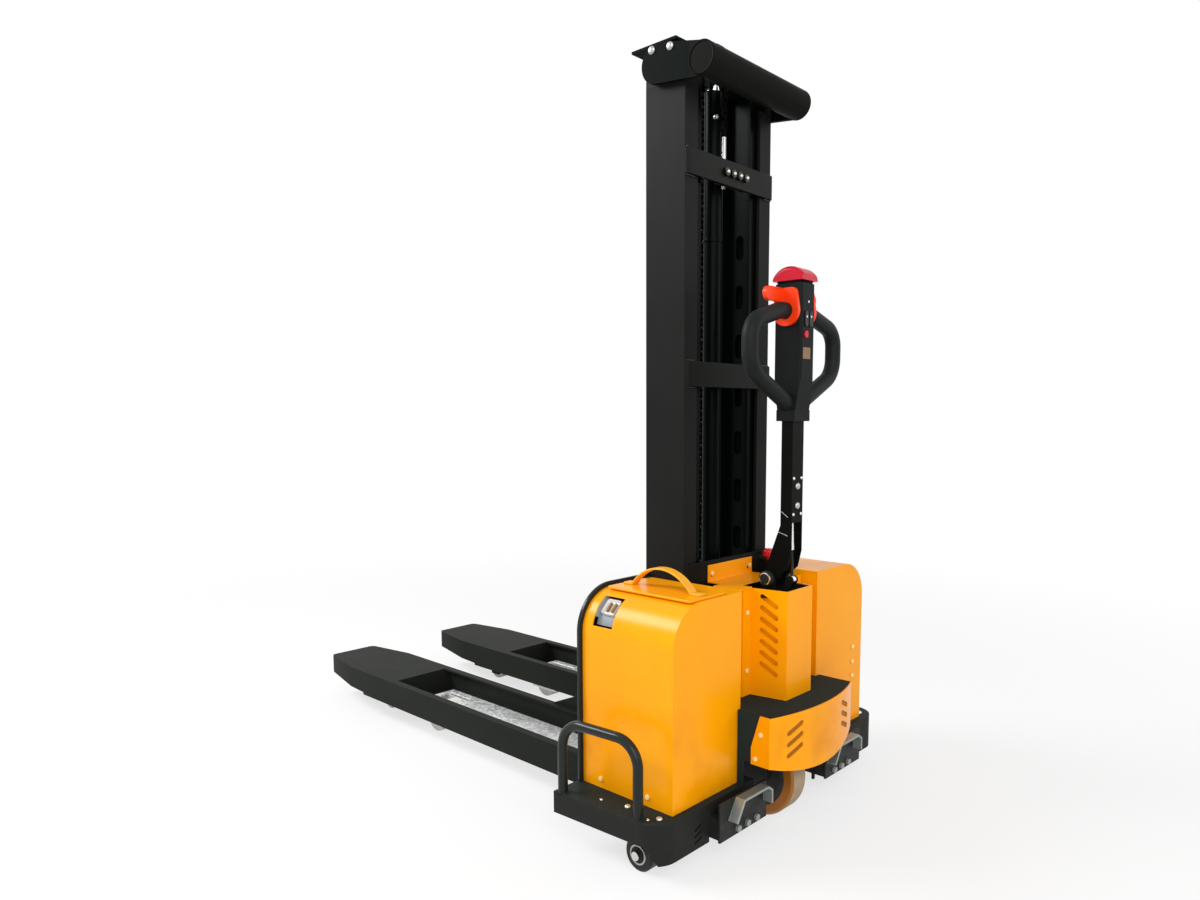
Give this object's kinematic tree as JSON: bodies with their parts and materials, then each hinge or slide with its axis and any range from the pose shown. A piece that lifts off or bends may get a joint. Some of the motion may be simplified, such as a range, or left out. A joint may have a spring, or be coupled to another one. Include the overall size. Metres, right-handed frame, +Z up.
{
  "type": "self-loading stacker",
  "caption": "Walk-behind electric stacker with a telescopic mast, sliding support legs, channel forks, rounded side covers, a steered drive wheel and a looped tiller.",
  "frame": {"origin": "middle of the footprint, on the ground under the wheels", "axes": "+Y towards the fork tips, +X to the right when looking along +Y, +Z up"},
  "size_m": [0.829, 1.5, 1.58],
  "materials": {
    "yellow_paint": "semi-gloss amber yellow powder coat",
    "black_paint": "satin black powder coat",
    "galvanised": "galvanised, faint spangle",
    "steel": "bright turned steel",
    "chrome": "polished piston rod",
    "cast_metal": "dark cast and painted gear case",
    "chain_steel": "oiled dark steel chain",
    "grip_rubber": "matt moulded grip",
    "head_plastic": "dark slate moulding",
    "black_plastic": "black moulding",
    "red_plastic": "glossy crimson",
    "orange_plastic": "glossy orange red",
    "white_nylon": "white nylon",
    "drive_pu": "amber polyurethane tread",
    "screw_paint": "painted screw heads",
    "strap_yellow": "amber yellow moulded strap"
  },
  "bodies": {
    "chassis": {"base_tray": "black_paint", "leg_sleeves": "black_paint", "step_hoops": "black_paint", "bulkheads": "black_paint", "battery_cover": "yellow_paint", "pump_cover": "yellow_paint", "charge_socket": "black_plastic", "battery": "black_plastic", "power_pack": "cast_metal", "outer_mast_left": "black_paint", "outer_mast_right": "black_paint", "mast_crossbars": "black_paint", "lift_cylinder": "black_paint", "chain_anchor": "steel", "column_cover": "yellow_paint", "column_bracket": "yellow_paint", "drive_guard": "black_paint", "guard_skirt": "yellow_paint", "steer_bearing": "steel", "guide_brackets": "black_paint", "cover_screws": "screw_paint", "chain_rear": "chain_steel"},
    "lid": {"battery_lid": "yellow_paint", "lid_strap": "strap_yellow"},
    "estop": {"estop_knob": "red_plastic"},
    "guide_left": {"guide_wheel_left": "black_plastic"},
    "guide_right": {"guide_wheel_right": "black_plastic"},
    "inner_mast": {"inner_mast_left": "black_paint", "inner_mast_right": "black_paint", "mast_head": "black_paint", "lift_rod": "chrome", "chain_bend": "chain_steel", "chain_front": "chain_steel"},
    "foot_rollers": {"mast_foot_rollers": "steel"},
    "sheave": {"chain_sheave": "steel"},
    "carriage": {"carriage_frame": "black_paint", "fork_left": "black_paint", "fork_right": "black_paint"},
    "lower_rollers": {"carriage_rollers_lower": "steel"},
    "upper_rollers": {"carriage_rollers_upper": "steel"},
    "fork_wheel_left": {"fork_roller_left": "white_nylon"},
    "fork_wheel_right": {"fork_roller_right": "white_nylon"},
    "leg_left": {"leg_left": "galvanised"},
    "leg_right": {"leg_right": "galvanised"},
    "leg_wheel_left": {"leg_roller_left": "white_nylon"},
    "leg_wheel_right": {"leg_roller_right": "white_nylon"},
    "steer": {"drive_unit": "cast_metal", "steer_column": "black_paint"},
    "drive_wheel": {"drive_wheel": "cast_metal", "drive_tyre": "drive_pu"},
    "spring_rod": {"gas_spring_rod": "chrome"},
    "spring_tube": {"gas_spring_tube": "steel"},
    "tiller": {"tiller_shaft": "black_paint", "tiller_head": "head_plastic", "handle_loops": "grip_rubber"},
    "throttle": {"throttle": "orange_plastic"},
    "belly": {"belly_button": "red_plastic"},
    "lift_key": {"lift_button": "black_plastic"},
    "lower_key": {"lower_button": "black_plastic"},
    "red_key": {"red_button": "red_plastic"}
  },
  "joints": [
    {"name": "mast_lift", "type": "slide", "parent": "chassis", "child": "inner_mast", "axis": [0, 0, 1], "range_m": [0, 0.65], "deforming": ["chain_rear"]},
    {"name": "carriage_lift", "type": "slide", "parent": "inner_mast", "child": "carriage", "axis": [0, 0, 1], "range_m": [0, 0.65], "deforming": ["chain_front"]},
    {"name": "sheave_spin", "type": "hinge", "parent": "inner_mast", "child": "sheave", "pos_m": [0, -0.457, 1.5485], "axis": [1, 0, 0], "range_deg": [0, 1331.1]},
    {"name": "foot_roller_spin", "type": "hinge", "parent": "inner_mast", "child": "foot_rollers", "pos_m": [0, -0.451, 0.1707], "axis": [1, 0, 0], "range_deg": [0, 873.2]},
    {"name": "lower_roller_spin", "type": "hinge", "parent": "carriage", "child": "lower_rollers", "pos_m": [0, -0.451, 0.15], "axis": [1, 0, 0], "range_deg": [0, 1214.1]},
    {"name": "upper_roller_spin", "type": "hinge", "parent": "carriage", "child": "upper_rollers", "pos_m": [0, -0.451, 0.375], "axis": [1, 0, 0], "range_deg": [-1214.1, 0]},
    {"name": "fork_wheel_left_spin", "type": "hinge", "parent": "carriage", "child": "fork_wheel_left", "pos_m": [-0.1875, 0.507, 0.032], "axis": [1, 0, 0], "continuous": true},
    {"name": "fork_wheel_right_spin", "type": "hinge", "parent": "carriage", "child": "fork_wheel_right", "pos_m": [0.1875, 0.507, 0.032], "axis": [1, 0, 0], "continuous": true},
    {"name": "leg_left_slide", "type": "slide", "parent": "chassis", "child": "leg_left", "axis": [0, -1, 0], "range_m": [0, 0.35]},
    {"name": "leg_right_slide", "type": "slide", "parent": "chassis", "child": "leg_right", "axis": [0, -1, 0], "range_m": [0, 0.35]},
    {"name": "leg_wheel_left_spin", "type": "hinge", "parent": "leg_left", "child": "leg_wheel_left", "pos_m": [-0.1875, 0.269, 0.036], "axis": [1, 0, 0], "continuous": true},
    {"name": "leg_wheel_right_spin", "type": "hinge", "parent": "leg_right", "child": "leg_wheel_right", "pos_m": [0.1875, 0.269, 0.036], "axis": [1, 0, 0], "continuous": true},
    {"name": "guide_left_spin", "type": "hinge", "parent": "chassis", "child": "guide_left", "pos_m": [-0.367, -0.592, 0.032], "axis": [1, 0, 0], "continuous": true},
    {"name": "guide_right_spin", "type": "hinge", "parent": "chassis", "child": "guide_right", "pos_m": [0.367, -0.592, 0.032], "axis": [1, 0, 0], "continuous": true},
    {"name": "steer_turn", "type": "hinge", "parent": "chassis", "child": "steer", "pos_m": [0, -0.618, 0.24], "axis": [0, 0, 1], "range_deg": [-42, 42]},
    {"name": "drive_spin", "type": "hinge", "parent": "steer", "child": "drive_wheel", "pos_m": [-0.028, -0.618, 0.092], "axis": [1, 0, 0], "continuous": true},
    {"name": "tiller_tilt", "type": "hinge", "parent": "steer", "child": "tiller", "pos_m": [0, -0.624, 0.49], "axis": [1, 0, 0], "range_deg": [0, 45], "stiffness_Nm_per_rad": 60, "springref_deg": -28.65},
    {"name": "gas_spring_tilt", "type": "hinge", "parent": "steer", "child": "spring_rod", "pos_m": [0, -0.666, 0.489], "axis": [1, 0, 0], "range_deg": [0, 50.8]},
    {"name": "gas_spring_stroke", "type": "slide", "parent": "spring_rod", "child": "spring_tube", "axis": [0, 0.0425, 0.9991], "range_m": [-0.031, 0]},
    {"name": "throttle_turn", "type": "hinge", "parent": "tiller", "child": "throttle", "pos_m": [0, -0.662, 1.021], "axis": [1, 0, 0], "range_deg": [-30, 30], "stiffness_Nm_per_rad": 2},
    {"name": "belly_press", "type": "slide", "parent": "tiller", "child": "belly", "axis": [0, 0, -1], "range_m": [0, 0.005], "stiffness_N_per_m": 1500, "springref_m": -0.003},
    {"name": "lift_key_press", "type": "slide", "parent": "tiller", "child": "lift_key", "axis": [0, 1, 0], "range_m": [0, 0.0015], "stiffness_N_per_m": 800, "springref_m": -0.001},
    {"name": "lower_key_press", "type": "slide", "parent": "tiller", "child": "lower_key", "axis": [0, 1, 0], "range_m": [0, 0.0015], "stiffness_N_per_m": 800, "springref_m": -0.001},
    {"name": "red_key_press", "type": "slide", "parent": "tiller", "child": "red_key", "axis": [0, 1, 0], "range_m": [0, 0.0015], "stiffness_N_per_m": 800, "springref_m": -0.001},
    {"name": "estop_press", "type": "slide", "parent": "chassis", "child": "estop", "axis": [0, 0, -1], "range_m": [0, 0.006], "stiffness_N_per_m": 1500, "springref_m": -0.003},
    {"name": "lid_lift", "type": "slide", "parent": "chassis", "child": "lid", "axis": [0, 0, 1], "range_m": [0, 0.15]}
  ],
  "couplings": [
    {"joint": "carriage_lift", "follows": "mast_lift", "ratio": 1},
    {"joint": "sheave_spin", "follows": "mast_lift", "rad_per_m": 35.714},
    {"joint": "foot_roller_spin", "follows": "mast_lift", "rad_per_m": 23.419},
    {"joint": "lower_roller_spin", "follows": "mast_lift", "rad_per_m": 32.573},
    {"joint": "upper_roller_spin", "follows": "mast_lift", "rad_per_m": -32.573},
    {"joint": "gas_spring_tilt", "follows": "tiller_tilt", "ratio": 1.1183},
    {"joint": "gas_spring_stroke", "follows": "tiller_tilt", "m_per_rad": -0.03817}
  ]
}
